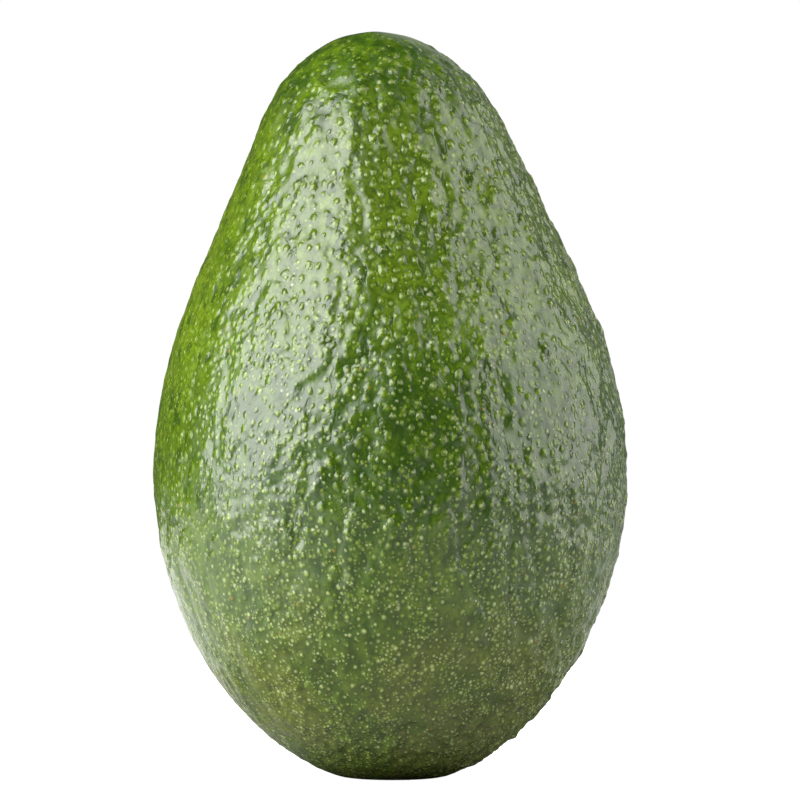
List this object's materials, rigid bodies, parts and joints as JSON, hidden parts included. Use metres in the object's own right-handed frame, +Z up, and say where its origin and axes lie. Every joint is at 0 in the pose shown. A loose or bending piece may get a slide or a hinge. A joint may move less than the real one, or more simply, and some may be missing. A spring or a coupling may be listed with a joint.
{
  "type": "avocado",
  "caption": "Whole green avocado with a pear shape, a finely pebbled skin and a small woody stem end, standing upright on its blunt end.",
  "frame": {"origin": "on the small flat spot that the fruit stands on, under the middle of its bounding box", "axes": "+Z up the fruit from its blunt end to its stem end, the front of the fruit faces -Y, +X is to the right seen from the front"},
  "size_m": [0.0716, 0.0708, 0.112],
  "materials": {
    "skin": "semi-gloss pebbled green skin with small yellow-green spots",
    "stem": "dry, dull and corky"
  },
  "bodies": {
    "root": {"fruit": "skin", "stem_button": "stem"}
  },
  "joints": []
}
